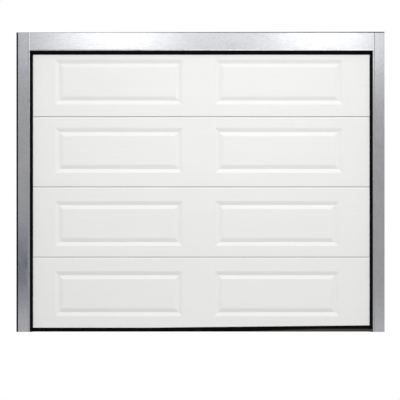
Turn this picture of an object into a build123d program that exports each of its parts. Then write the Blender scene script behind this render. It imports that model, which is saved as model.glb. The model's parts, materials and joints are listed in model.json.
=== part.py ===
from build123d import *
import os
from math import cos, hypot, radians, sin

# Sizes are in millimetres. While the pieces are drawn, x runs from the middle of the opening to the right
# as seen from outside, y runs from the front face of the frame into the garage, and z runs up from the floor.

# Opening and frame
opening_width = 2440.0
opening_height = 2000.0
frame_steel = 2.0
jamb_face = 83.0
jamb_depth = 110.0
jamb_return = 25.0
header_face = 128.0
header_depth = 60.0
header_hem = 16.0
frame_lip_width = 12.0
frame_lip_back = 14.0
fixing_hole_radius = 4.5
fixing_hole_setback = 30.0
fixing_hole_count = 4
lowest_fixing_hole = 120.0
highest_fixing_margin = 208.0
header_bracket_reach = 60.0
header_bracket_rise = 20.0
header_bracket_height = 80.0
gasket_side_width = 12.0
gasket_top_left = 2.0
gasket_top_right = 7.0
gasket_front = 5.0
gasket_back = 60.0

# Leaf
section_count = 4
leaf_bottom = 29.0
leaf_overlap = 29.0
leaf_front = 22.0
leaf_thickness = 42.0
leaf_lap = 5.0
cap_sheet = 1.2
cap_plate = 2.0
cap_flange = 60.0
joint_reveal = 2.0
joint_lower_slope = 5.0
joint_upper_slope = 3.0
tongue_front = 12.0
tongue_back = 30.0
tongue_taper = 3.0
tongue_height = 10.0
tongue_play = 0.8
rib_count = 8
rib_width = 8.0
rib_flat = 4.0
rib_depth = 1.5

# Raised panels pressed in the outer skin
left_panel_margin = 175.0
left_panel_end = -131.0
right_panel_starts = (89.0, 97.0, 95.0, 95.0)
right_panel_margins = (237.0, 237.0, 211.0, 211.0)
panel_margin = 87.5
panel_slope = 31.0
panel_depth = 9.0
panel_edge_run = 5.0
panel_edge_fall = 0.6
panel_floor_run = 3.0
panel_floor_rise = 0.7
panel_rises = (-9.0, -9.0, 12.0, 0.0)
cutter_overshoot = 1.0

# Seals
side_seal_reach = 21.5
top_seal_reach = 27.0
seal_start = 1.0
seal_base_depth = 12.0
seal_base_width = 5.0
seal_tip_width = 5.5
seal_tip_thickness = 3.0
bottom_rail_height = 15.0
bottom_rail_wall = 2.5
bottom_apron = 4.0
bottom_seal_wall = 4.0
bottom_seal_back = 2.0
wedge_start = -360.0
wedge_height = 17.0

# Rollers, stems and the running line of the tracks
roller_radius = 24.0
roller_width = 16.0
roller_chamfer = 2.5
roller_hub_radius = 11.0
roller_recess = 4.0
roller_rim = 7.0
stem_radius = 5.5
stem_play = 0.1
roller_setback = 18.0
track_sheet = 1.8
track_play = 0.2
track_width = 26.0
track_lip = 7.0
track_standoff = 2.0
track_foot = 20.0
curve_radius = 300.0
track_spacing = 85.0
dip_radius = 300.0
dip_angle = 30.0
dip_start = 280.0
top_roller_angle = 20.0
track_reserve = 68.0
pad_height = 60.0
pad_inset = 6.0
pad_count = 4
lowest_pad = 150.0
highest_pad_gap = 45.0
return_clearance = 10.0

# Hinges and brackets on the leaf
hinge_sheet = 2.5
hinge_width = 80.0
side_hinge_inset = 10.0
hinge_lower_reach = 80.0
hinge_upper_reach = 60.0
hinge_gap = 12.0
barrel_radius = 8.5
bracket_sheet = 3.0
bottom_bracket_low = 35.0
bottom_bracket_high = 120.0
bottom_bracket_reach = 75.0
bottom_roller_level = 89.0
stem_reach = 65.0
top_bracket_drop = 110.0
top_bracket_margin = 15.0
ear_margin = 18.0
ear_nose = 8.0
cable_pin_level = 60.0
cable_pin_radius = 6.0
cable_pin_reach = 34.0

# Cables, pulleys, drums and the rear shaft
cable_radius = 1.6
cable_offset = 25.0
cable_setback = 45.0
ferrule_radius = 4.0
ferrule_height = 22.0
pulley_run = 30.0
pulley_rim = 34.0
pulley_width = 12.0
pulley_rise = 50.0
pulley_plate_half = 25.0
pulley_rim_width = 1.5
pulley_axle_radius = 6.0
drum_run = 55.0
drum_flange = 62.0
drum_width = 56.0
drum_flange_width = 6.0
drum_pitch = 8.0
shaft_radius = 12.7
shaft_gap = 110.0
shaft_play = 0.1
shaft_beyond = 6.0
spring_outer = 31.0
spring_inner = 24.0
spring_start = 40.0
spring_length = 680.0
cone_flange = 38.0
cone_flange_width = 8.0
cone_length = 60.0
winding_taper = 6.0
winding_head = 24.0

# Flag plates, bearing plates, crossbar and hangers
flag_front = 50.0
flag_reach = 48.0
flag_drop = 110.0
flag_rise = 35.0
flag_cut = 220.0
flag_foot = 10.0
plate_sheet = 3.0
plate_lap = 50.0
bearing_foot = 35.0
bearing_head = 30.0
bearing_cut = 60.0
centre_plate_half = 32.0
centre_plate_foot = 28.0
centre_plate_flange = 30.0
crossbar_leg = 40.0
hanger_lead = 120.0
hanger_width = 40.0
hanger_leg = 32.0
hanger_clearance = 6.0
ceiling_gap = 172.0
ceiling_plate_length = 100.0
ceiling_plate_width = 60.0
hanger_hole_radius = 4.5
hanger_hole_pitch = 50.0
ceiling_hole_spacing = 70.0

# Values that follow from the sizes above
half_opening = opening_width / 2
frame_edge = half_opening + jamb_face
frame_top = opening_height + header_face
flange_inside = frame_edge - frame_steel
leaf_back = leaf_front + leaf_thickness
leaf_half = half_opening + leaf_lap
skin_half = leaf_half - cap_plate
leaf_top = opening_height + leaf_overlap
section_height = (leaf_top - leaf_bottom) / section_count
panel_height = section_height - 2 * panel_margin
left_panel = (left_panel_margin - half_opening, left_panel_end)
right_panels = [(a, half_opening - b) for a, b in zip(right_panel_starts, right_panel_margins)]
fixing_hole_spacing = (frame_top - lowest_fixing_hole - highest_fixing_margin) / (fixing_hole_count - 1)
joint_levels = [leaf_bottom + section_height * i for i in range(1, section_count)]
cap_back = leaf_back + cap_sheet
roller_line = leaf_back + roller_setback
track_half = roller_radius + track_play + track_sheet
track_web = flange_inside - track_standoff
track_mouth = track_web - track_width
roller_outer = track_web - track_sheet - 2 * track_play
roller_inner = roller_outer - roller_width
curve_centre = roller_line + curve_radius
lower_track_height = opening_height
curve_start = lower_track_height - curve_radius
upper_track_height = lower_track_height + track_spacing
track_end = curve_centre + section_count * section_height + track_reserve
pad_step = (curve_start - highest_pad_gap - lowest_pad) / (pad_count - 1)
pad_levels = [lowest_pad + pad_step * i for i in range(pad_count)]
flag_back = curve_centre + flag_reach
flag_low = lower_track_height - flag_drop
flag_high = upper_track_height + flag_rise
dip_centre_height = upper_track_height - dip_radius
top_roller_y = dip_start - dip_radius * sin(radians(top_roller_angle))
top_roller_z = dip_centre_height + dip_radius * cos(radians(top_roller_angle))
cable_x = leaf_half + cable_offset
pulley_y = cable_setback + pulley_run
pulley_level = opening_height + pulley_rise
cable_level = pulley_level + pulley_run
shaft_level = cable_level - drum_run
shaft_setback = track_end + shaft_gap
bearing_front = track_end - plate_lap
bearing_back = shaft_setback + plate_lap
bearing_low = lower_track_height - bearing_foot
bearing_high = upper_track_height + bearing_head
crossbar_front = track_end - plate_lap
hanger_front = track_end - hanger_lead
ceiling = frame_top + ceiling_gap
origin_x = half_opening + frame_lip_width + (jamb_face - frame_lip_width) / 2

# Sections through the pressed lips of the frame, as steps in from the opening and out of the face
frame_lip = ((0.0, -1.2), (2.0, -2.5), (6.0, -3.0), (10.0, -2.5), (12.0, -1.0), (13.2, 0.0))
header_lip = ((0.0, -1.0), (1.6, -2.2), (4.0, -2.6), (6.6, -2.0), (8.0, -0.9), (9.0, 0.0))


def bent_sheet(points, thickness):
    """Outline of a sheet bent along the points, with its thickness to the left of them."""
    steps = list(zip(points, points[1:]))
    lefts = []
    for (a, b), (c, d) in steps:
        length = hypot(c - a, d - b)
        lefts.append((-(d - b) / length, (c - a) / length))
    inner = []
    for i, (a, b) in enumerate(points):
        before = lefts[max(i - 1, 0)]
        after = lefts[min(i, len(lefts) - 1)]
        reach = thickness / (1 + before[0] * after[0] + before[1] * after[1])
        inner.append((a + (before[0] + after[0]) * reach, b + (before[1] + after[1]) * reach))
    return list(points) + inner[::-1]


def prism(points, run):
    """Solid swept from a closed outline of 3-D points along a straight run."""
    return Solid.extrude(Face(Wire.make_polygon([Vector(*p) for p in points])), Vector(*run))


def post(outline, low, high):
    """Solid raised from a plan outline of x and y."""
    return prism([(x, y, low) for x, y in outline], (0, 0, high - low))


def beam(outline, left, right):
    """Solid run along x from a side outline of y and z."""
    return prism([(left, y, z) for y, z in outline], (right - left, 0, 0))


def block(left, right, front, back, low, high):
    """Rectangular solid between its limits on each axis."""
    return post([(left, front), (right, front), (right, back), (left, back)], low, high)


def rod(y, z, radius, left, right):
    """Round bar along x."""
    return Solid.make_cylinder(radius, right - left, Plane(origin=(left, y, z), z_dir=(1, 0, 0)))


def turned(profile, y, z):
    """Solid turned about a line along x, from points of x and radius."""
    face = Face(Wire.make_polygon([Vector(x, y + r, z) for x, r in profile]))
    return revolve(face, axis=Axis((0, y, z), (1, 0, 0)), revolution_arc=360)


def joined(pieces):
    """One body made from pieces that touch or overlap."""
    body = Part()
    for piece in pieces:
        body += piece
    return body


def other_side(shape):
    """The same piece on the left side of the door."""
    return shape.mirror(Plane.YZ)


def both(shapes):
    """The pieces of the right side and the same pieces on the left side."""
    return list(shapes) + [other_side(shape) for shape in shapes]


def solids_of(shapes):
    """All the solids of several shapes."""
    return [solid for shape in shapes for solid in shape.solids()]


def tapered_stack(middle, width, height, steps):
    """Four-sided block with mitred sides, from steps of how far its sides come in and how deep they are."""
    x, z = middle
    rings = []
    for inset, depth in steps:
        half_w = width / 2 - inset
        half_h = height / 2 - inset
        y = leaf_front + depth
        corners = [(-half_w, -half_h), (half_w, -half_h), (half_w, half_h), (-half_w, half_h)]
        rings.append(Wire.make_polygon([Vector(x + a, y, z + b) for a, b in corners]))
    return joined([Solid.make_loft([near, far], ruled=True) for near, far in zip(rings, rings[1:])])


def panel_groove(left, right, z):
    """The sloping groove that surrounds one raised field, its edges a little rounded."""
    middle = ((left + right) / 2, z)
    lean = panel_edge_run / panel_edge_fall * cutter_overshoot
    fall = [
        (-lean, -cutter_overshoot),
        (panel_edge_run, panel_edge_fall),
        (panel_slope - panel_floor_run, panel_depth - panel_floor_rise),
        (panel_slope, panel_depth),
    ]
    rise = [(2 * panel_slope - inset, depth) for inset, depth in fall]
    width = right - left
    outer_slope = tapered_stack(middle, width, panel_height, fall)
    return outer_slope - tapered_stack(middle, width, panel_height, rise)


def packing_wedge():
    """Tapered rubber packing under the right part of the leaf, thickest at the right."""
    front = leaf_front
    back = leaf_back - bottom_seal_back
    outline = [
        (wedge_start, front, leaf_bottom),
        (skin_half, front, leaf_bottom),
        (skin_half, front, leaf_bottom + wedge_height),
    ]
    return prism(outline, (0, back - front, 0))


def section_outline(low, has_groove, has_tongue):
    """Side outline of one section, its edges shaped to close round the next one."""
    high = low + section_height
    front = leaf_front
    back = leaf_back
    near = front + tongue_front
    far = front + tongue_back
    if has_groove:
        roof = low + tongue_height + tongue_play
        outline = [
            (front, low + joint_reveal + joint_upper_slope),
            (front + joint_upper_slope, low + joint_reveal),
            (near, low + joint_reveal),
            (near + tongue_taper, roof),
            (far - tongue_taper, roof),
            (far, low),
        ]
    else:
        outline = [(front, low)]
    outline.append((back, low))
    pitch = section_height / rib_count
    for i in range(rib_count):
        middle = low + pitch * (i + 0.5)
        outline += [
            (back, middle - rib_width / 2),
            (back - rib_depth, middle - rib_flat / 2),
            (back - rib_depth, middle + rib_flat / 2),
            (back, middle + rib_width / 2),
        ]
    outline.append((back, high))
    if has_tongue:
        crest = high + tongue_height
        outline += [
            (far, high),
            (far - tongue_taper - tongue_play, crest),
            (near + tongue_taper + tongue_play, crest),
            (near + tongue_play, high),
        ]
    outline += [(front + joint_lower_slope, high), (front, high - joint_lower_slope)]
    return outline


def leaf_section(index):
    """One section of the leaf with its two raised panels."""
    low = leaf_bottom + index * section_height
    outline = section_outline(low, index > 0, index < section_count - 1)
    section = beam(outline, -skin_half, skin_half)
    level = low + section_height / 2 + panel_rises[index]
    for left, right in (left_panel, right_panels[index]):
        section -= panel_groove(left, right, level)
    if index == 0:
        section -= packing_wedge()
    return section


def end_cap(index):
    """Steel cap on the right end of one section, with its flange on the back."""
    low = leaf_bottom + index * section_height + joint_reveal
    high = low + section_height - joint_reveal - joint_lower_slope
    outline = [
        (skin_half, leaf_front),
        (leaf_half, leaf_front),
        (leaf_half, cap_back),
        (leaf_half - cap_flange, cap_back),
        (leaf_half - cap_flange, leaf_back),
        (skin_half, leaf_back),
    ]
    return post(outline, low, high)


def make_jamb():
    """Right jamb: pressed steel with a raised lip at the opening and a deep flange at the outside."""
    bends = [(half_opening, frame_lip_back)]
    bends += [(half_opening + along, out) for along, out in frame_lip]
    bends += [
        (frame_edge, 0),
        (frame_edge, jamb_depth),
        (frame_edge - jamb_return, jamb_depth),
    ]
    jamb = post(bent_sheet(bends, frame_steel), 0, frame_top)
    notch = curve_start - return_clearance
    behind = jamb_depth - frame_steel
    jamb -= block(track_mouth, flange_inside, behind, jamb_depth + cutter_overshoot, notch, frame_top)
    for i in range(fixing_hole_count):
        level = lowest_fixing_hole + i * fixing_hole_spacing
        jamb -= rod(fixing_hole_setback, level, fixing_hole_radius, flange_inside, frame_edge)
    return jamb


def make_header():
    """Pressed steel header between the jambs, with a lip at the opening and a hem at the top."""
    bends = [
        (header_depth, frame_top - header_hem),
        (header_depth, frame_top),
        (0, frame_top),
    ]
    bends += [(out, opening_height + along) for along, out in header_lip[::-1]]
    bends.append((frame_lip_back, opening_height))
    return beam(bent_sheet(bends, frame_steel), -half_opening, half_opening)


def header_bracket():
    """Angle that ties the right end of the header to the jamb."""
    bends = [
        (half_opening - header_bracket_reach, frame_steel),
        (half_opening, frame_steel),
        (half_opening, frame_lip_back),
    ]
    low = opening_height + header_bracket_rise
    return post(bent_sheet(bends, frame_steel), low, low + header_bracket_height)


def seal_outline(edge, reach):
    """Lip seal from its base on the frame to its tip on the leaf, as pairs of sideways place and depth."""
    base_end = seal_start + seal_base_depth
    return [
        (edge, seal_start),
        (edge, base_end),
        (edge - seal_base_width, base_end + 2),
        (edge - reach + seal_tip_width, leaf_front),
        (edge - reach, leaf_front),
        (edge - reach, leaf_front - seal_tip_thickness),
        (edge - seal_base_width - 3, seal_start + 2),
        (edge - seal_base_width, seal_start),
    ]


def make_bottom_rail():
    """Hollow aluminium rail under the lowest section."""
    front = leaf_front + bottom_apron
    back = leaf_back - bottom_seal_back
    low = leaf_bottom - bottom_rail_height
    wall = bottom_rail_wall
    rail = block(-skin_half, skin_half, front, back, low, leaf_bottom)
    return rail - block(-skin_half, skin_half, front + wall, back - wall, low + wall, leaf_bottom - wall)


def make_bottom_seal():
    """Rubber seal under the leaf: an apron in front of the rail and a hollow bulb on the floor."""
    apron = leaf_front + bottom_apron
    back = leaf_back - bottom_seal_back
    roof = leaf_bottom - bottom_rail_height
    outline = [
        (leaf_front, leaf_bottom),
        (leaf_front, 6),
        (leaf_front + 3, 1.5),
        (leaf_front + 8, 0),
        (back - 8, 0),
        (back - 2, 2),
        (back, 6),
        (back, roof),
        (apron, roof),
        (apron, leaf_bottom),
    ]
    wall = bottom_seal_wall
    seal = beam(outline, -skin_half, skin_half)
    seal -= block(-skin_half, skin_half, apron + wall, back - 2 * wall, wall, roof - wall)
    return joined([seal, packing_wedge()])


def track_outline(line):
    """Outline of a track, open towards the leaf, as pairs of x and place across the running line."""
    bends = [
        (track_mouth, line - track_half + track_lip),
        (track_mouth, line - track_half),
        (track_web, line - track_half),
        (track_web, line + track_half),
        (track_mouth, line + track_half),
        (track_mouth, line + track_half - track_lip),
    ]
    return bent_sheet(bends, track_sheet)


def make_vertical_track():
    """Right upright track."""
    return post(track_outline(roller_line), track_foot, curve_start)


def turned_track(start_y, start_z, centre_y, centre_z, along_y, angle):
    """Part of a track bent about a line along x."""
    if along_y:
        points = [(x, start_y, z) for x, z in track_outline(start_z)]
    else:
        points = [(x, y, start_z) for x, y in track_outline(start_y)]
    face = Face(Wire.make_polygon([Vector(*p) for p in points]))
    return revolve(face, axis=Axis((0, centre_y, centre_z), (1, 0, 0)), revolution_arc=angle)


def make_curved_track():
    """Right quarter bend between the upright and the lower level track."""
    return turned_track(roller_line, curve_start, curve_centre, curve_start, False, -90)


def straight_track(level, front):
    """Level track from its front end to the rear."""
    outline = [(x, front, z) for x, z in track_outline(level)]
    return prism(outline, (0, track_end - front, 0))


def make_upper_track():
    """Right upper track for the top roller, bent down at its front end."""
    dip = turned_track(dip_start, upper_track_height, dip_start, dip_centre_height, True, dip_angle)
    return joined([straight_track(upper_track_height, dip_start), dip])


def make_roller(y, z):
    """Nylon roller with a raised hub."""
    bore = stem_radius + stem_play
    profile = [
        (roller_inner, bore),
        (roller_inner, roller_hub_radius),
        (roller_inner + roller_recess, roller_hub_radius + 2),
        (roller_inner + roller_recess, roller_radius - roller_rim),
        (roller_inner + 1, roller_radius - roller_rim + 2),
        (roller_inner + 1, roller_radius - roller_chamfer),
        (roller_inner + 1 + roller_chamfer, roller_radius),
        (roller_outer - roller_chamfer, roller_radius),
        (roller_outer, roller_radius - roller_chamfer),
        (roller_outer, bore),
    ]
    return turned(profile, y, z)


def make_hinge(left, base, level):
    """Hinge across a joint, its barrel held off the leaf by pressed ears."""
    right = left + hinge_width
    sheet = hinge_sheet
    face = base + sheet
    pieces = [
        block(left, right, base, face, level - hinge_lower_reach, level - hinge_gap),
        block(left, right, base, face, level + hinge_gap, level + hinge_upper_reach),
    ]
    lower_ear = [
        (face, level - hinge_lower_reach + ear_margin),
        (roller_line + ear_nose / 2, level - ear_nose),
        (roller_line + ear_nose / 2, level + ear_nose / 2),
        (roller_line - ear_nose, level + ear_nose / 2),
        (face, level - hinge_gap),
    ]
    upper_ear = [
        (face, level + hinge_upper_reach - ear_margin / 2),
        (roller_line + ear_nose / 2, level + ear_nose),
        (roller_line + ear_nose / 2, level - ear_nose / 2),
        (roller_line - ear_nose, level - ear_nose / 2),
        (face, level + hinge_gap),
    ]
    for x in (left, right - sheet):
        pieces.append(beam(lower_ear, x, x + sheet))
    for x in (left + sheet, right - 2 * sheet):
        pieces.append(beam(upper_ear, x, x + sheet))
    pieces.append(rod(roller_line, level, barrel_radius, left, right))
    return joined(pieces) - rod(roller_line, level, stem_radius + stem_play, left, right)


def make_bottom_bracket():
    """Right bottom bracket, with the lowest roller's barrel and the pin that holds the cable."""
    left = leaf_half - bottom_bracket_reach
    outside = leaf_half + bracket_sheet
    low = bottom_bracket_low
    high = bottom_bracket_high
    face = cap_back + bracket_sheet
    ear = [
        (face, low + ear_margin / 2),
        (roller_line + ear_nose / 2, bottom_roller_level - ear_nose),
        (roller_line + ear_nose / 2, bottom_roller_level + ear_nose),
        (face, high - ear_nose / 2),
    ]
    pieces = [
        block(left, outside, cap_back, face, low, high),
        block(leaf_half, outside, leaf_front + 2, face, low, high),
        beam(ear, left, left + bracket_sheet),
        beam(ear, leaf_half - bracket_sheet, leaf_half),
        rod(roller_line, bottom_roller_level, barrel_radius, left, leaf_half),
        rod(cable_setback, cable_pin_level, cable_pin_radius, leaf_half, leaf_half + cable_pin_reach),
    ]
    return joined(pieces) - rod(roller_line, bottom_roller_level, stem_radius + stem_play, left, leaf_half)


def make_top_bracket():
    """Right top bracket, whose arm carries the top roller up into the upper track."""
    right = leaf_half - side_hinge_inset
    left = right - hinge_width
    face = cap_back + bracket_sheet
    low = leaf_top - top_bracket_drop
    high = leaf_top - top_bracket_margin
    arm = [
        (face, low + ear_margin),
        (face, high - ear_nose),
        (top_roller_y - barrel_radius, top_roller_z + ear_nose),
        (top_roller_y + ear_nose, top_roller_z + ear_nose),
        (top_roller_y + ear_nose, top_roller_z - ear_nose),
    ]
    pieces = [
        block(left, right, cap_back, face, low, high),
        beam(arm, left, left + bracket_sheet),
        beam(arm, right - bracket_sheet, right),
        rod(top_roller_y, top_roller_z, barrel_radius, left, right),
    ]
    return joined(pieces) - rod(top_roller_y, top_roller_z, stem_radius + stem_play, left, right)


def make_track_brackets():
    """Pads behind the right upright track, and the flag plate for the bend and both level tracks."""
    front = roller_line - track_half + pad_inset
    back = roller_line + track_half - pad_inset
    half = pad_height / 2
    pieces = [block(track_web, flange_inside, front, back, z - half, z + half) for z in pad_levels]
    flag = [
        (flag_front, flag_low),
        (flag_front, flag_high),
        (flag_back, flag_high),
        (flag_back, lower_track_height - track_half - flag_foot),
        (flag_back - flag_cut, flag_low),
    ]
    pieces.append(beam(flag, track_web, flange_inside))
    return pieces


def make_pulley_bracket():
    """Plate and axle of the right front pulley."""
    half = pulley_plate_half
    return joined([
        block(
            track_web - plate_sheet, track_web,
            pulley_y - half, pulley_y + half,
            pulley_level - half, pulley_level + half,
        ),
        rod(pulley_y, pulley_level, pulley_axle_radius, cable_x - pulley_width, track_web),
    ])


def make_pulley():
    """Grooved wheel that turns the right cable from upright to level."""
    bore = pulley_axle_radius + stem_play
    floor = pulley_run - cable_radius
    half = pulley_width / 2
    profile = [
        (cable_x - half, bore),
        (cable_x - half, pulley_rim),
        (cable_x - half + pulley_rim_width, pulley_rim),
        (cable_x - cable_radius, floor),
        (cable_x + cable_radius, floor),
        (cable_x + half - pulley_rim_width, pulley_rim),
        (cable_x + half, pulley_rim),
        (cable_x + half, bore),
    ]
    return turned(profile, pulley_y, pulley_level)


def make_drum():
    """Grooved cable drum at the right end of the shaft."""
    left = cable_x - drum_width / 2
    right = cable_x + drum_width / 2
    bore = shaft_radius + shaft_play
    floor = drum_run - cable_radius
    profile = [(left, bore), (left, floor - 6), (left + 4, floor)]
    x = cable_x - 2 * drum_pitch
    while x < cable_x + 2.5 * drum_pitch:
        profile += [(x - 1.5 * cable_radius, drum_run), (x - cable_radius, floor)]
        profile += [(x + cable_radius, floor), (x + 1.5 * cable_radius, drum_run)]
        x += drum_pitch
    profile += [
        (right - drum_flange_width, drum_run),
        (right - drum_flange_width, drum_flange),
        (right, drum_flange),
        (right, bore),
    ]
    return turned(profile, shaft_setback, shaft_level)


def make_cable():
    """Right lift cable from the bottom bracket over the front pulley and back round the drum."""
    start = cable_pin_level + cable_pin_radius + ferrule_height / 2
    path = Wire([
        Edge.make_line((cable_x, cable_setback, start), (cable_x, cable_setback, pulley_level)),
        Edge.make_three_point_arc(
            (cable_x, cable_setback, pulley_level),
            (
                cable_x,
                pulley_y - pulley_run * cos(radians(45)),
                pulley_level + pulley_run * sin(radians(45)),
            ),
            (cable_x, pulley_y, cable_level),
        ),
        Edge.make_line((cable_x, pulley_y, cable_level), (cable_x, shaft_setback, cable_level)),
        Edge.make_three_point_arc(
            (cable_x, shaft_setback, cable_level),
            (cable_x, shaft_setback + drum_run, shaft_level),
            (cable_x, shaft_setback, shaft_level - drum_run),
        ),
    ])
    start_plane = Plane(origin=(cable_x, cable_setback, start), z_dir=(0, 0, 1))
    ring = Face(Wire.make_circle(cable_radius, start_plane))
    cable = sweep(ring, path=path)
    foot = cable_pin_level + cable_pin_radius
    ferrule_seat = Plane(origin=(cable_x, cable_setback, foot))
    ferrule = Solid.make_cylinder(ferrule_radius, ferrule_height, ferrule_seat)
    return joined([cable, ferrule])


def make_bearing_plate():
    """Right end plate that carries the shaft at the rear of the tracks."""
    outline = [
        (bearing_front, bearing_low),
        (bearing_front, bearing_high),
        (bearing_back - bearing_cut, bearing_high),
        (bearing_back, bearing_high - bearing_cut),
        (bearing_back, bearing_low + bearing_cut / 2),
        (bearing_back - bearing_cut / 2, bearing_low),
    ]
    plate = beam(outline, track_web, track_web + plate_sheet)
    hole = rod(shaft_setback, shaft_level, shaft_radius + shaft_play, track_web, track_web + plate_sheet)
    return plate - hole


def make_centre_plate():
    """Bracket in the middle of the shaft, fixed to the crossbar."""
    bar_back = crossbar_front + crossbar_leg
    bar_low = upper_track_height + track_half
    bar_high = bar_low + crossbar_leg
    half = plate_sheet / 2
    arm = [
        (bar_back, bar_low),
        (bar_back, bar_high),
        (bar_back + plate_lap, bar_high),
        (shaft_setback + centre_plate_half, shaft_level + centre_plate_half),
        (shaft_setback + centre_plate_half, shaft_level - centre_plate_foot),
        (shaft_setback - centre_plate_half, shaft_level - centre_plate_foot),
        (shaft_setback - centre_plate_half, shaft_level + centre_plate_half),
    ]
    flange = centre_plate_flange
    bracket = joined([
        beam(arm, -half, half),
        block(-flange, flange, bar_back, bar_back + plate_sheet, bar_low, bar_high),
    ])
    return bracket - rod(shaft_setback, shaft_level, shaft_radius + shaft_play, -half, half)


def make_crossbar():
    """Steel angle that holds the two sets of tracks apart at the rear."""
    low = upper_track_height + track_half
    back = crossbar_front + crossbar_leg
    bends = [(crossbar_front, low), (back, low), (back, low + crossbar_leg)]
    return beam(bent_sheet(bends, plate_sheet), -track_web, track_web)


def make_hanger():
    """Right rear hanger: slotted angle from the tracks to a plate on the ceiling."""
    foot = lower_track_height - track_half
    top = ceiling - plate_sheet
    clear = upper_track_height + track_half + hanger_clearance
    back = hanger_front + hanger_width
    outside = track_web + plate_sheet
    bar = block(track_web, outside, hanger_front, back, foot, top)
    leg = block(outside - hanger_leg, outside, hanger_front, hanger_front + plate_sheet, clear, top)
    middle = hanger_front + hanger_width / 2
    pad = block(
        outside - ceiling_plate_width, outside,
        middle - ceiling_plate_length / 2, middle + ceiling_plate_length / 2,
        top, ceiling,
    )
    hanger = joined([bar, leg, pad])
    level = clear + hanger_hole_pitch / 2
    while level < top - hanger_hole_pitch / 2:
        hanger -= rod(middle, level, hanger_hole_radius, track_web, outside)
        level += hanger_hole_pitch
    for place in (-1, 1):
        spot = (outside - ceiling_plate_width / 2, middle + place * ceiling_hole_spacing / 2, top)
        hanger -= Solid.make_cylinder(hanger_hole_radius, plate_sheet, Plane(origin=spot))
    return hanger


def make_spring():
    """Right torsion spring as a close-wound sleeve."""
    end = spring_start + spring_length
    profile = [
        (spring_start, spring_inner),
        (spring_start, spring_outer),
        (end, spring_outer),
        (end, spring_inner),
    ]
    return turned(profile, shaft_setback, shaft_level)


def make_cones():
    """Fixed and winding cones that hold the ends of the right spring."""
    bore = shaft_radius + shaft_play
    half = plate_sheet / 2
    end = spring_start + spring_length
    fixed = [
        (half, bore),
        (half, cone_flange),
        (half + cone_flange_width, cone_flange),
        (half + cone_flange_width, spring_inner),
        (spring_start + cone_length, spring_inner),
        (spring_start + cone_length, bore),
    ]
    winding = [
        (end - cone_length, bore),
        (end - cone_length, spring_inner),
        (end, spring_inner),
        (end + winding_taper, cone_flange),
        (end + winding_taper + winding_head, cone_flange),
        (end + 2 * winding_taper + winding_head, spring_inner),
        (end + 2 * winding_taper + winding_head, bore),
    ]
    return [turned(profile, shaft_setback, shaft_level) for profile in (fixed, winding)]


jamb = make_jamb()
top_seal_outline = seal_outline(opening_height, top_seal_reach)
top_seal = beam([(y, z) for z, y in top_seal_outline], -half_opening, half_opening)
side_seal = post(seal_outline(half_opening, side_seal_reach), 0, opening_height - top_seal_reach)
end_caps = [end_cap(i) for i in range(section_count)]
side_hinge_left = leaf_half - side_hinge_inset - hinge_width
side_hinges = [make_hinge(side_hinge_left, cap_back, level) for level in joint_levels]
centre_hinges = [make_hinge(-hinge_width / 2, leaf_back, level) for level in joint_levels]
roller_places = [(roller_line, bottom_roller_level)]
roller_places += [(roller_line, level) for level in joint_levels]
roller_places.append((top_roller_y, top_roller_z))
rollers = [make_roller(y, z) for y, z in roller_places]
stems = [rod(y, z, stem_radius, leaf_half - stem_reach, roller_outer) for y, z in roller_places]
vertical_track = make_vertical_track()
curved_track = make_curved_track()
lower_track = straight_track(lower_track_height, curve_centre)
upper_track = make_upper_track()
track_brackets = make_track_brackets()
bottom_bracket = make_bottom_bracket()
top_bracket = make_top_bracket()
pulley_bracket = make_pulley_bracket()
pulley = make_pulley()
drum = make_drum()
cable = make_cable()
bearing_plate = make_bearing_plate()
hanger = make_hanger()
spring = make_spring()
cones = make_cones()
shaft = rod(
    shaft_setback, shaft_level, shaft_radius,
    -track_web - plate_sheet - shaft_beyond, track_web + plate_sheet + shaft_beyond,
)
gasket_side = block(-frame_edge - gasket_side_width, -frame_edge, gasket_front, gasket_back, 0, frame_top)
gasket_top = prism(
    [
        (-frame_edge - gasket_side_width, gasket_front, frame_top),
        (frame_edge, gasket_front, frame_top),
        (frame_edge, gasket_front, frame_top + gasket_top_right),
        (-frame_edge - gasket_side_width, gasket_front, frame_top + gasket_top_left),
    ],
    (0, gasket_back - gasket_front, 0),
)


nodes = {
    "jamb_left": [other_side(jamb)],
    "jamb_right": [jamb],
    "header": [make_header()],
    "header_brackets": both([header_bracket()]),
    "frame_gasket_side": [gasket_side],
    "frame_gasket_top": [gasket_top],
    "side_seal_left": [other_side(side_seal)],
    "side_seal_right": [side_seal],
    "top_seal": [top_seal],
    "bottom_seal": [make_bottom_seal()],
    "bottom_rail": [make_bottom_rail()],
    "section_bottom": [leaf_section(0)],
    "section_lower": [leaf_section(1)],
    "section_upper": [leaf_section(2)],
    "section_top": [leaf_section(3)],
    "end_caps_left": [other_side(cap) for cap in end_caps],
    "end_caps_right": end_caps,
    "centre_hinges": centre_hinges,
    "side_hinges_left": [other_side(hinge) for hinge in side_hinges],
    "side_hinges_right": side_hinges,
    "bottom_brackets": both([bottom_bracket]),
    "top_brackets": both([top_bracket]),
    "rollers": both(rollers),
    "roller_stems": both(stems),
    "vertical_track_left": [other_side(vertical_track)],
    "vertical_track_right": [vertical_track],
    "curved_track_left": [other_side(curved_track)],
    "curved_track_right": [curved_track],
    "lower_track_left": [other_side(lower_track)],
    "lower_track_right": [lower_track],
    "upper_track_left": [other_side(upper_track)],
    "upper_track_right": [upper_track],
    "track_brackets_left": [other_side(piece) for piece in track_brackets],
    "track_brackets_right": track_brackets,
    "pulley_brackets": both([pulley_bracket]),
    "pulleys": both([pulley]),
    "lift_cables": both([cable]),
    "cable_drums": both([drum]),
    "bearing_plates": both([bearing_plate]) + [make_centre_plate()],
    "torsion_shaft": [shaft],
    "torsion_springs": both([spring]),
    "spring_cones": both(cones),
    "rear_crossbar": [make_crossbar()],
    "rear_hangers": both([hanger]),
}

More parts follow.
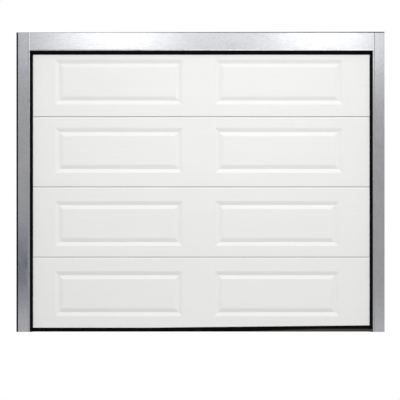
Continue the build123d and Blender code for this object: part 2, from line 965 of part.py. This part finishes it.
os.makedirs("parts", exist_ok=True)
to_origin = Location((origin_x, 0, 0))
for name, shapes in nodes.items():
    solids = [solid.moved(to_origin) for solid in solids_of(shapes)]
    export_step(solids[0] if len(solids) == 1 else Compound(solids), f"parts/{name}.step")
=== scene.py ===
import json
import math

import bpy
from mathutils import Matrix, Vector


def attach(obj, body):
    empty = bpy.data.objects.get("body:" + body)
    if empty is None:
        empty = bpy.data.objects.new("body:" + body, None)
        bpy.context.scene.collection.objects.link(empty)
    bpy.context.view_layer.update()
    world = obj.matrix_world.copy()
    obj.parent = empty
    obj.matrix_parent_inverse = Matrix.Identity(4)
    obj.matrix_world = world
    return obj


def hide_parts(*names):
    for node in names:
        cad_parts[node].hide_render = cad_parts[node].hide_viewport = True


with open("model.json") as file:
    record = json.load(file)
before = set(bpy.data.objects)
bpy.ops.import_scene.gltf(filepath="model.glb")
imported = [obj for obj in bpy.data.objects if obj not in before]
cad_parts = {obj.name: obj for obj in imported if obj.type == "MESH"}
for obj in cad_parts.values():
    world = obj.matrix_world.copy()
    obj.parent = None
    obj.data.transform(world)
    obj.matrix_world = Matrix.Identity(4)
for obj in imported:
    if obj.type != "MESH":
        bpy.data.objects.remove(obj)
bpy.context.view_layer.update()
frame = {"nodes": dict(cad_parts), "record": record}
nodes = frame["nodes"]

X, Y, Z = range(3)


def box(name):
    """Low and high corner of a CAD node, to a tenth of a millimetre."""
    node = nodes[name]
    corners = [node.matrix_world @ Vector(corner) for corner in node.bound_box]
    low = [round(min(corner[axis] for corner in corners), 4) for axis in range(3)]
    high = [round(max(corner[axis] for corner in corners), 4) for axis in range(3)]
    return low, high


# Places are in metres: x = 0 is the middle of the left jamb's flat, y = 0 its front, z = 0 the floor
leaf_low, leaf_high = box("section_lower")
shaft_low, shaft_high = box("torsion_shaft")
MIDDLE = (leaf_low[X] + leaf_high[X]) / 2
JOINTS = tuple(box(name)[0][Z] for name in ("section_lower", "section_upper", "section_top"))
SECTION_HEIGHT = JOINTS[1] - JOINTS[0]
SECTION_LOWS = (JOINTS[0] - SECTION_HEIGHT, *JOINTS)
SHAFT_Y = (shaft_low[Y] + shaft_high[Y]) / 2
SHAFT_Z = (shaft_low[Z] + shaft_high[Z]) / 2

# Sockets of a mix node by number, because its colour and number sockets share their names
MIX_NUMBER = {"below": 2, "over": 3, "result": 0}
MIX_COLOUR = {"below": 6, "over": 7, "result": 2}


def new_material(name):
    """A material, its node tree and its shader."""
    material = bpy.data.materials.new(name)
    material.use_nodes = True
    tree = material.node_tree
    return material, tree, tree.nodes["Principled BSDF"]


def add(tree, kind, **settings):
    """One shader node with its settings."""
    node = tree.nodes.new(kind)
    for key, value in settings.items():
        setattr(node, key, value)
    return node


def place_map(tree, scale=(1.0, 1.0, 1.0)):
    """Object coordinates stretched by a scale on each axis."""
    coordinates = add(tree, "ShaderNodeTexCoord")
    mapping = add(tree, "ShaderNodeMapping")
    mapping.inputs["Scale"].default_value = scale
    tree.links.new(coordinates.outputs["Object"], mapping.inputs["Vector"])
    return mapping.outputs["Vector"]


def axes(tree, vector):
    """The three coordinates of a place, by the names of their axes."""
    node = add(tree, "ShaderNodeSeparateXYZ")
    tree.links.new(vector, node.inputs["Vector"])
    return node.outputs


def noise(tree, vector, scale, detail=4.0, rough=0.55):
    """Noise at a scale along given coordinates."""
    node = add(tree, "ShaderNodeTexNoise")
    node.inputs["Scale"].default_value = scale
    node.inputs["Detail"].default_value = detail
    node.inputs["Roughness"].default_value = rough
    tree.links.new(vector, node.inputs["Vector"])
    return node.outputs["Fac"]


def spread(tree, factor, low, high, from_low=0.3, from_high=0.7):
    """A factor mapped to a range of values."""
    node = add(tree, "ShaderNodeMapRange")
    node.inputs["From Min"].default_value = from_low
    node.inputs["From Max"].default_value = from_high
    node.inputs["To Min"].default_value = low
    node.inputs["To Max"].default_value = high
    tree.links.new(factor, node.inputs["Value"])
    return node.outputs["Result"]


def shades(tree, factor, dark, light, from_low=0.35, from_high=0.65):
    """A colour that runs from dark to light with a factor."""
    ramp = add(tree, "ShaderNodeValToRGB")
    ramp.color_ramp.elements[0].position = from_low
    ramp.color_ramp.elements[1].position = from_high
    ramp.color_ramp.elements[0].color = (*dark, 1)
    ramp.color_ramp.elements[1].color = (*light, 1)
    tree.links.new(factor, ramp.inputs["Fac"])
    return ramp.outputs["Color"]


def over(tree, factor, colour, below):
    """A plain colour laid over another by a factor."""
    node = add(tree, "ShaderNodeMix", data_type="RGBA")
    node.inputs[MIX_COLOUR["over"]].default_value = (*colour, 1)
    tree.links.new(factor, node.inputs["Factor"])
    tree.links.new(below, node.inputs[MIX_COLOUR["below"]])
    return node.outputs[MIX_COLOUR["result"]]


def band(tree, height, low, high):
    """A factor that is one between two heights and nought elsewhere."""
    node = add(tree, "ShaderNodeMath", operation="COMPARE")
    value, middle, reach = node.inputs
    middle.default_value = (low + high) / 2
    reach.default_value = (high - low) / 2
    tree.links.new(height, value)
    return node.outputs["Value"]


def bump(tree, shader, height, strength, distance, below=None):
    """Relief on a shader, over an earlier relief if there is one."""
    node = add(tree, "ShaderNodeBump")
    node.inputs["Strength"].default_value = strength
    node.inputs["Distance"].default_value = distance
    tree.links.new(height, node.inputs["Height"])
    if below is not None:
        tree.links.new(below.outputs["Normal"], node.inputs["Normal"])
    tree.links.new(node.outputs["Normal"], shader.inputs["Normal"])
    return node


def leaf_paint():
    """White enamel with an embossed wood grain, painted shade in the joints and painted highlights on the
    rims under them.
    """
    clean = (0.886, 0.883, 0.874)
    soiled = (0.872, 0.869, 0.859)
    joint_shade = (0.46, 0.455, 0.44)
    rim_highlight = (0.96, 0.96, 0.95)
    joint_shade_reach = 0.0052
    rim_highlight_reach = 0.011
    grain_stretch = (3.0, 40.0, 170.0)
    wave_stretch = (3.2, 14.0, 62.0)
    soil_stretch = (1.0, 1.0, 1.6)
    material, tree, shader = new_material("leaf_paint")
    grain = noise(tree, place_map(tree, grain_stretch), scale=1.6, detail=5.0, rough=0.6)
    waves = noise(tree, place_map(tree, wave_stretch), scale=1.0, detail=3.0)
    soil = noise(tree, place_map(tree, soil_stretch), scale=1.3, detail=3.0)
    enamel = shades(tree, soil, soiled, clean)
    height = axes(tree, place_map(tree))["Z"]
    # Each joint gets a dark band of painted shade just above it, and a pale band of painted highlight on the
    # rounded rim just below it
    for joint in JOINTS:
        enamel = over(tree, band(tree, height, joint, joint + joint_shade_reach), joint_shade, enamel)
        enamel = over(tree, band(tree, height, joint - rim_highlight_reach, joint), rim_highlight, enamel)
    tree.links.new(enamel, shader.inputs["Base Color"])
    tree.links.new(spread(tree, grain, low=0.42, high=0.60), shader.inputs["Roughness"])
    shader.inputs["Specular IOR Level"].default_value = 0.35
    wave_relief = bump(tree, shader, waves, strength=0.30, distance=0.0034)
    bump(tree, shader, grain, strength=0.55, distance=0.0009, below=wave_relief)
    return material


def galvanised(name, grain_axis, tone):
    """Zinc-coated steel with faint crystals, and streaks along the axis it was drawn in."""
    rough = 0.28
    crystal_share = 0.30
    contrast = 0.07
    across_grain = 70.0
    along_grain = 3.0
    dark = tuple((1 - contrast) * channel for channel in tone)
    light = tuple((1 + contrast) * channel for channel in tone)
    stretch = [across_grain, across_grain, across_grain]
    stretch[grain_axis] = along_grain
    material, tree, shader = new_material(name)
    place = place_map(tree)
    cells = add(tree, "ShaderNodeTexVoronoi")
    cells.inputs["Scale"].default_value = 90.0
    tree.links.new(place, cells.inputs["Vector"])
    crystal = add(tree, "ShaderNodeSeparateColor")
    tree.links.new(cells.outputs["Color"], crystal.inputs["Color"])
    streaks = noise(tree, place_map(tree, stretch), scale=3.0)
    clouds = noise(tree, place, scale=7.0)
    mixed = add(tree, "ShaderNodeMix", data_type="FLOAT")
    mixed.inputs["Factor"].default_value = crystal_share
    tree.links.new(clouds, mixed.inputs[MIX_NUMBER["below"]])
    tree.links.new(crystal.outputs["Red"], mixed.inputs[MIX_NUMBER["over"]])
    coating = shades(tree, mixed.outputs[MIX_NUMBER["result"]], dark, light, from_low=0.2, from_high=0.8)
    tree.links.new(coating, shader.inputs["Base Color"])
    tree.links.new(spread(tree, streaks, rough - 0.05, rough + 0.07), shader.inputs["Roughness"])
    shader.inputs["Metallic"].default_value = 1.0
    bump(tree, shader, streaks, strength=0.03, distance=0.0006)
    return material


def plain_metal(name, tone, rough, grain_scale=240.0, strength=0.08):
    """Metal with a fine grain and slight wear in its tone."""
    wear_shade = 0.82
    worn = tuple(wear_shade * channel for channel in tone)
    material, tree, shader = new_material(name)
    place = place_map(tree)
    grain = noise(tree, place, grain_scale, detail=3.0)
    wear = noise(tree, place, scale=14.0)
    tree.links.new(shades(tree, wear, worn, tone), shader.inputs["Base Color"])
    tree.links.new(spread(tree, grain, rough - 0.06, rough + 0.08), shader.inputs["Roughness"])
    shader.inputs["Metallic"].default_value = 1.0
    bump(tree, shader, grain, strength, distance=0.0006)
    return material


def black_rubber():
    """Matt black rubber with a fine skin and a little bloom, and brown dust by the floor on the right."""
    black = (0.0014, 0.0015, 0.0016)
    bloomed = (0.0034, 0.0036, 0.0038)
    dust = (0.070, 0.058, 0.048)
    dust_start = 1.45
    dust_full = 2.10
    dust_top = 0.021
    bloom_stretch = (3.0, 3.0, 1.0)
    material, tree, shader = new_material("black_rubber")
    place = place_map(tree)
    skin = noise(tree, place, scale=420.0, detail=3.0)
    bloom = noise(tree, place_map(tree, bloom_stretch), scale=5.0)
    rubber = shades(tree, bloom, black, bloomed)
    along = axes(tree, place)
    top = spread(tree, along["X"], low=0.0, high=dust_top, from_low=dust_start, from_high=dust_full)
    under_top = add(tree, "ShaderNodeMath", operation="SUBTRACT")
    tree.links.new(top, under_top.inputs[0])
    tree.links.new(along["Z"], under_top.inputs[1])
    dusty = spread(tree, under_top.outputs["Value"], low=0.0, high=1.0, from_low=-0.001, from_high=0.004)
    tree.links.new(over(tree, dusty, dust, rubber), shader.inputs["Base Color"])
    tree.links.new(spread(tree, skin, low=0.60, high=0.80), shader.inputs["Roughness"])
    shader.inputs["Specular IOR Level"].default_value = 0.04
    bump(tree, shader, skin, strength=0.2, distance=0.0005)
    return material


def white_nylon():
    """Moulded nylon, slightly yellowed where it runs."""
    fresh = (0.80, 0.80, 0.77)
    yellowed = (0.66, 0.65, 0.60)
    material, tree, shader = new_material("white_nylon")
    place = place_map(tree)
    patches = noise(tree, place, scale=40.0)
    skin = noise(tree, place, scale=500.0, detail=2.0)
    tree.links.new(shades(tree, patches, yellowed, fresh), shader.inputs["Base Color"])
    tree.links.new(spread(tree, skin, low=0.35, high=0.50), shader.inputs["Roughness"])
    shader.inputs["Subsurface Weight"].default_value = 0.08
    bump(tree, shader, skin, strength=0.1, distance=0.0004)
    return material


def wire_rope():
    """Stranded steel: slanting ridges round the cable, with painted shade in the grooves between them."""
    groove_shade = (0.16, 0.16, 0.17)
    ridge = (0.50, 0.50, 0.52)
    material, tree, shader = new_material("wire_rope")
    wave = add(tree, "ShaderNodeTexWave", wave_type="BANDS", bands_direction="DIAGONAL")
    wave.inputs["Scale"].default_value = 140.0
    wave.inputs["Distortion"].default_value = 0.6
    tree.links.new(place_map(tree), wave.inputs["Vector"])
    strands = wave.outputs["Fac"]
    # The grooves between the strands are darkened with painted shade, and the ridges are lighter
    tree.links.new(shades(tree, strands, groove_shade, ridge), shader.inputs["Base Color"])
    shader.inputs["Roughness"].default_value = 0.38
    shader.inputs["Metallic"].default_value = 1.0
    bump(tree, shader, strands, strength=0.5, distance=0.0006)
    return material


# Tones of metals, as the share of each colour that they reflect
STEEL = (0.461, 0.463, 0.480)
HEADER_STEEL = (0.492, 0.493, 0.508)
ZINC = (0.70, 0.70, 0.68)
OILED_STEEL = (0.20, 0.20, 0.21)
ALUMINIUM = (0.78, 0.78, 0.79)

MATERIALS = {
    "leaf_paint": leaf_paint(),
    "galvanised": galvanised("galvanised", Z, STEEL),
    "zinc_plated": plain_metal("zinc_plated", ZINC, rough=0.32),
    "spring_steel": plain_metal("spring_steel", OILED_STEEL, rough=0.36),
    "black_rubber": black_rubber(),
    "white_nylon": white_nylon(),
    "mill_aluminium": plain_metal("mill_aluminium", ALUMINIUM, rough=0.40, grain_scale=300.0, strength=0.15),
    "wire_rope": wire_rope(),
}


def dress_cad():
    """Gives each CAD node the finish of its slot, with the steel's grain along the piece."""
    across = galvanised("galvanised_across", X, HEADER_STEEL)
    inward = galvanised("galvanised_inward", Y, STEEL)
    other_grain = {
        "header": across,
        "rear_crossbar": across,
        "lower_track_left": inward,
        "lower_track_right": inward,
        "upper_track_left": inward,
        "upper_track_right": inward,
        "bearing_plates": inward,
    }
    for part in frame["record"]["subparts"]:
        cad_mesh = nodes[part["node"]].data
        finish = other_grain.get(part["node"], MATERIALS[part["material_slot"]])
        cad_mesh.materials.clear()
        cad_mesh.materials.append(finish)


# Edges sharper than this stay sharp, and the rest are shaded smooth
SHARP_ANGLE = math.radians(35)


def mesh_piece(name, points, faces, slot):
    """A piece made from points and faces, riding on the door, with a finish from the record."""
    mesh = bpy.data.meshes.new(name)
    mesh.from_pydata(points, [], faces)
    mesh.update()
    mesh.polygons.foreach_set("use_smooth", [True] * len(mesh.polygons))
    mesh.set_sharp_from_angle(angle=SHARP_ANGLE)
    piece = bpy.data.objects.new(name, mesh)
    bpy.context.scene.collection.objects.link(piece)
    mesh.materials.append(MATERIALS[slot])
    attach(piece, "root")
    return piece


def tube_faces(rings, sides):
    """Faces of a tube through rings of points, closed at both ends."""
    faces = []
    for ring in range(rings - 1):
        low = ring * sides
        high = low + sides
        for i in range(sides):
            j = (i + 1) % sides
            faces.append((low + i, low + j, high + j, high + i))
    faces.append(tuple(reversed(range(sides))))
    faces.append(tuple(range((rings - 1) * sides, rings * sides)))
    return faces


def lathe(profile, sides):
    """Points and faces of a closed shape turned about z, from pairs of radius and height."""
    points = []
    for radius, height in profile:
        for i in range(sides):
            angle = 2 * math.pi * i / sides
            points.append((radius * math.cos(angle), radius * math.sin(angle), height))
    return points, tube_faces(len(profile), sides)


def many(name, shapes, places, slot):
    """One piece that repeats a few shapes at places, each a point and the way its head faces."""
    points = []
    faces = []
    for spot, facing in places:
        turn = Vector((0, 0, 1)).rotation_difference(Vector(facing)).to_matrix().to_4x4()
        move = Matrix.Translation(Vector(spot)) @ turn
        for shape_points, shape_faces in shapes:
            start = len(points)
            points += [tuple(move @ Vector(p)) for p in shape_points]
            faces += [tuple(start + i for i in face) for face in shape_faces]
    return mesh_piece(name, points, faces, slot)


# How far a head's foot sinks into the surface that it sits on
SUNK = 0.0002


def hex_bolt(size):
    """Hexagon head on a washer; size is the thread's diameter."""
    across = size * 0.92
    height = size * 0.55
    washer = size * 0.16
    ring = [
        (size * 1.15, -SUNK),
        (size * 1.15, washer * 0.8),
        (size * 1.08, washer),
    ]
    head = [
        (across, washer),
        (across, washer + height * 0.8),
        (across * 0.86, washer + height),
    ]
    return [lathe(ring, sides=20), lathe(head, sides=6)]


def rivet(radius, height):
    """Low domed head."""
    steps = 4
    dome = math.radians(84)
    profile = [(radius, -SUNK)]
    for i in range(steps + 1):
        angle = dome * i / steps
        profile.append((radius * math.cos(angle), height * math.sin(angle)))
    return [lathe(profile, sides=14)]


def self_tapper(size):
    """Flanged hexagon screw head with a low dome."""
    flange = [
        (size * 1.35, -SUNK),
        (size * 1.35, size * 0.14),
        (size * 1.0, size * 0.3),
    ]
    head = [
        (size * 0.88, size * 0.25),
        (size * 0.88, size * 0.78),
        (size * 0.7, size * 0.9),
    ]
    return [lathe(flange, sides=18), lathe(head, sides=6)]


# Ways that heads face, sizes of threads and plates, and heights. A hinge's screws are set from its joint
BACK = (0, 1, 0)
OUT = (1, 0, 0)
UP = (0, 0, 1)
SCREW_SIZE = 0.0055
BOLT_SIZE = 0.006
HINGE_PLATE = 0.0025
BRACKET_PLATE = 0.003
HINGE_SCREW_RISES = (-0.066, -0.032, 0.030, 0.049)
TRACK_BRACKET_HEIGHTS = (0.150, 0.6517, 1.1533, 1.655)
LOWER_TRACK_HEIGHT = 2.000
UPPER_TRACK_HEIGHT = 2.085


def each_side(places):
    """Places given for the right side, from the opening's middle, set on both sides."""
    out = []
    for (x, y, z), (a, b, c) in places:
        out.append(((MIDDLE + x, y, z), (a, b, c)))
        out.append(((MIDDLE - x, y, z), (-a, b, c)))
    return out


def hinge_screws(columns, y):
    """Places of the screws of one hinge at each joint."""
    return [
        ((x, y, joint + rise), BACK)
        for joint in JOINTS
        for x in columns
        for rise in HINGE_SCREW_RISES
    ]


def grid(columns, y, rows):
    """Places of screws in columns and rows, seen from behind."""
    return [((x, y, z), BACK) for x in columns for z in rows]


def add_leaf_fasteners():
    """Screws and rivets on the back of the leaf."""
    cap_back = box("end_caps_right")[1][Y]
    bracket_back = cap_back + BRACKET_PLATE
    side_columns = (1.157, 1.193)
    centre_columns = (MIDDLE - 0.018, MIDDLE + 0.018)
    bottom_columns = (1.168, 1.206)
    bottom_rows = (0.047, 0.111)
    top_columns = (1.158, 1.192)
    top_rows = (1.934, 1.966, 1.998)
    rivet_columns = (1.180, 1.212)
    rivet_rises = (0.150, 0.250, 0.350)
    screw = self_tapper(SCREW_SIZE)
    side_screws = hinge_screws(side_columns, cap_back + HINGE_PLATE)
    many("side_hinge_screws", screw, each_side(side_screws), "zinc_plated")
    centre_screws = hinge_screws(centre_columns, leaf_high[Y] + HINGE_PLATE)
    many("centre_hinge_screws", screw, centre_screws, "zinc_plated")
    bracket_screws = grid(bottom_columns, bracket_back, bottom_rows)
    bracket_screws += grid(top_columns, bracket_back, top_rows)
    many("bracket_screws", screw, each_side(bracket_screws), "zinc_plated")
    cap_rivets = [
        ((x, cap_back, low + rise), BACK)
        for low in SECTION_LOWS
        for rise in rivet_rises
        for x in rivet_columns
    ]
    many("end_cap_rivets", rivet(radius=0.0042, height=0.0016), each_side(cap_rivets), "zinc_plated")


def add_frame_fasteners():
    """Rivets of the track brackets and flag plates on the jambs."""
    jamb_side = box("jamb_right")[1][X] - MIDDLE
    bracket_y = 0.082
    bracket_steps = (-0.018, 0.018)
    flag_ys = (0.068, 0.092)
    flag_zs = (1.905, 1.955)
    rivets = [
        ((jamb_side, bracket_y, height + step), OUT)
        for height in TRACK_BRACKET_HEIGHTS
        for step in bracket_steps
    ]
    rivets += [((jamb_side, y, z), OUT) for y in flag_ys for z in flag_zs]
    many("jamb_rivets", rivet(radius=0.0048, height=0.0016), each_side(rivets), "galvanised")


def add_track_fasteners():
    """Bolts of the flag plates, the rear plates and the crossbar."""
    flag_side = 1.301
    flag_spots = (
        (0.165, 1.906),
        (0.250, 1.968),
        (0.400, LOWER_TRACK_HEIGHT),
        (0.180, 2.072),
        (0.300, UPPER_TRACK_HEIGHT),
        (0.400, UPPER_TRACK_HEIGHT),
    )
    rear_side = 1.302
    hanger_ys = (2.420, 2.438)
    rear_plate_y = 2.350
    foot_x = 1.286
    foot_ys = (2.412, 2.426)
    centre_plate_x = 0.019
    crossbar_low, crossbar_high = box("rear_crossbar")
    foot_top = crossbar_low[Z] + BRACKET_PLATE
    plate_back = crossbar_high[Y] + BRACKET_PLATE
    plate_middle = (crossbar_low[Z] + crossbar_high[Z]) / 2
    bolt = hex_bolt(BOLT_SIZE)
    flag_bolts = [((flag_side, y, z), OUT) for y, z in flag_spots]
    many("flag_plate_bolts", bolt, each_side(flag_bolts), "zinc_plated")
    rear_spots = [(y, z) for z in (LOWER_TRACK_HEIGHT, UPPER_TRACK_HEIGHT) for y in hanger_ys]
    rear_spots += [(rear_plate_y, z) for z in (LOWER_TRACK_HEIGHT, UPPER_TRACK_HEIGHT)]
    rear_bolts = [((rear_side, y, z), OUT) for y, z in rear_spots]
    rear_bolts += [((foot_x, y, foot_top), UP) for y in foot_ys]
    many("rear_bolts", bolt, each_side(rear_bolts), "zinc_plated")
    plate_bolt = ((centre_plate_x, plate_back, plate_middle), BACK)
    many("centre_plate_bolts", bolt, each_side([plate_bolt]), "zinc_plated")


def add_cone_screws():
    """Set screws round the winding cones."""
    count = 3
    x = 0.738
    radius = 0.0375
    first = math.radians(35)
    screws = []
    for i in range(count):
        angle = first + 2 * math.pi * i / count
        facing = (0, math.cos(angle), math.sin(angle))
        spot = (x, SHAFT_Y + radius * facing[Y], SHAFT_Z + radius * facing[Z])
        screws.append((spot, facing))
    many("winding_cone_screws", hex_bolt(BOLT_SIZE), each_side(screws), "zinc_plated")


def coil(name, start, length, mean, wire, slot):
    """Close-wound spring about the shaft, as a helix tube with closed ends."""
    around = 8
    per_turn = 22
    turns = int(length / wire) - 1
    rings = turns * per_turn + 1
    points = []
    for i in range(rings):
        angle = 2 * math.pi * i / per_turn
        along = start + wire / 2 + (length - wire) * i / (rings - 1)
        for j in range(around):
            tilt = 2 * math.pi * j / around
            radius = mean + wire / 2 * math.cos(tilt)
            points.append((
                along + wire / 2 * math.sin(tilt),
                SHAFT_Y + radius * math.cos(angle),
                SHAFT_Z + radius * math.sin(angle),
            ))
    return mesh_piece(name, points, tube_faces(rings, around), slot)


def add_springs():
    """Coils of the two torsion springs, in place of their plain sleeves."""
    inner_end = 0.040
    length = 0.680
    mean = 0.0275
    wire = 0.0068
    right_spring = coil("spring_coils_right", MIDDLE + inner_end, length, mean, wire, "spring_steel")
    left_spring = coil("spring_coils_left", MIDDLE - inner_end - length, length, mean, wire, "spring_steel")
    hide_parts("torsion_springs")
    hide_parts("torsion_springs")


def add_camera():
    """Camera square on to the front and far away, as in the photo."""
    sensor_mm = 36.0
    distance = 12.0
    pixel_size = 0.00711
    picture_pixels = 400
    middle_column = 201.3
    floor_row = 331.95
    data = bpy.data.cameras.new("camera")
    data.sensor_width = sensor_mm
    data.lens = sensor_mm * distance / (picture_pixels * pixel_size)
    data.clip_end = 100.0
    camera = bpy.data.objects.new("camera", data)
    to_the_right = (picture_pixels / 2 - middle_column) * pixel_size
    height = (floor_row - picture_pixels / 2) * pixel_size
    camera.location = (MIDDLE + to_the_right, -distance, height)
    camera.rotation_euler = (math.radians(90), 0, 0)
    bpy.context.scene.collection.objects.link(camera)
    bpy.context.scene.camera = camera
    bpy.context.scene.view_settings.view_transform = "Standard"


def area_light(name, spot, target, width, height, power, colour=(1, 1, 1)):
    """Soft light that faces a target; x is from the opening's middle."""
    place = Vector((MIDDLE + spot[X], spot[Y], spot[Z]))
    aim = Vector((MIDDLE + target[X], target[Y], target[Z]))
    data = bpy.data.lights.new(name, "AREA")
    data.shape = "RECTANGLE"
    data.size = width
    data.size_y = height
    data.energy = power
    data.color = colour
    light = bpy.data.objects.new(name, data)
    light.location = place
    light.rotation_euler = (aim - place).to_track_quat("-Z", "Y").to_euler()
    light.visible_camera = False
    bpy.context.scene.collection.objects.link(light)
    return light


def reflector(name, x, y, z, width, height, radiance, colour=(1, 1, 1)):
    """Panel in front of the door that shows only in shiny surfaces."""
    power = math.pi * width * height * radiance
    panel = area_light(name, (x, y, z), (x, 0, z), width, height, power, colour)
    panel.visible_diffuse = False


def add_lights():
    """Key from the upper right, a small fill, and the panels that the steel reflects."""
    area_light("key", (2.8, -9.6, 9.3), (0, 0, 1.0), width=7.0, height=5.0, power=510.0)
    fill = area_light("fill", (0.25, -2.5, 2.1), (0, 0, 1.2), width=0.8, height=0.8, power=10.5)
    fill.visible_glossy = False
    cool = (0.94, 0.98, 1.0)
    # Panels in one plane would hide each other in reflections, so neighbours stand 2 cm apart
    back = -1.50
    middle = -1.52
    front = -1.54
    top = 2.31
    tall = 0.56
    reflector("sky_panel", 0.08, back, top, width=2.96, height=tall, radiance=0.95, colour=cool)
    reflector("header_panel_left", -0.66, middle, top, width=0.72, height=tall, radiance=1.25)
    reflector("header_panel_right", 0.96, middle, top, width=0.64, height=tall, radiance=1.25)
    reflector("jamb_panel_right", 1.46, front, 1.92, width=0.30, height=tall, radiance=0.32)
    reflector("ground_panel", 0.0, back, -0.14, width=3.20, height=0.34, radiance=0.50)
    reflector("side_panel_right", 3.8, -2.4, 1.75, width=1.4, height=1.3, radiance=2.6)
    reflector("side_panel_left", -3.8, -2.4, 2.05, width=1.4, height=1.9, radiance=1.8)


def add_dark_surface():
    """Dark blue surface opposite the left jamb, which shows only as a reflection in the steel."""
    half_width = 0.27
    half_height = 0.21
    place = (MIDDLE - 1.43, -1.56, 0.405)
    dark_blue = (0.03, 0.08, 0.19, 1)
    corners = [
        (-half_width, 0, -half_height),
        (half_width, 0, -half_height),
        (half_width, 0, half_height),
        (-half_width, 0, half_height),
    ]
    mesh = bpy.data.meshes.new("dark_surface")
    mesh.from_pydata(corners, [], [(0, 1, 2, 3)])
    surface = bpy.data.objects.new("dark_surface", mesh)
    surface.location = place
    surface.visible_camera = False
    surface.visible_diffuse = False
    surface.visible_shadow = False
    bpy.context.scene.collection.objects.link(surface)
    material, _, shader = new_material("dark_surface")
    shader.inputs["Base Color"].default_value = dark_blue
    shader.inputs["Roughness"].default_value = 0.9
    mesh.materials.append(material)


def background(tree, strength):
    """A background shader with its strength."""
    node = add(tree, "ShaderNodeBackground")
    node.inputs["Strength"].default_value = strength
    return node


def add_surroundings():
    """Soft grey light from all round, darker from below, and white behind the door for the camera."""
    from_below = (0.445, 0.445, 0.445)
    from_above = (0.80, 0.80, 0.805)
    world = bpy.data.worlds.new("surroundings")
    bpy.context.scene.world = world
    world.use_nodes = True
    tree = world.node_tree
    tree.nodes.clear()
    direction = add(tree, "ShaderNodeTexCoord").outputs["Generated"]
    rise = spread(tree, axes(tree, direction)["Z"], low=0.0, high=1.0, from_low=-0.6, from_high=0.8)
    soft = background(tree, strength=1.03)
    greys = shades(tree, rise, from_below, from_above, from_low=0.0, from_high=1.0)
    tree.links.new(greys, soft.inputs["Color"])
    white = background(tree, strength=1.0)
    white.inputs["Color"].default_value = (1, 1, 1, 1)
    seen = add(tree, "ShaderNodeLightPath").outputs["Is Camera Ray"]
    choose = add(tree, "ShaderNodeMixShader")
    factor, unseen_shader, seen_shader = choose.inputs
    tree.links.new(seen, factor)
    tree.links.new(soft.outputs["Background"], unseen_shader)
    tree.links.new(white.outputs["Background"], seen_shader)
    end = add(tree, "ShaderNodeOutputWorld")
    tree.links.new(choose.outputs["Shader"], end.inputs["Surface"])


dress_cad()
add_leaf_fasteners()
add_frame_fasteners()
add_track_fasteners()
add_cone_screws()
add_springs()
add_camera()
add_lights()
add_dark_surface()
add_surroundings()
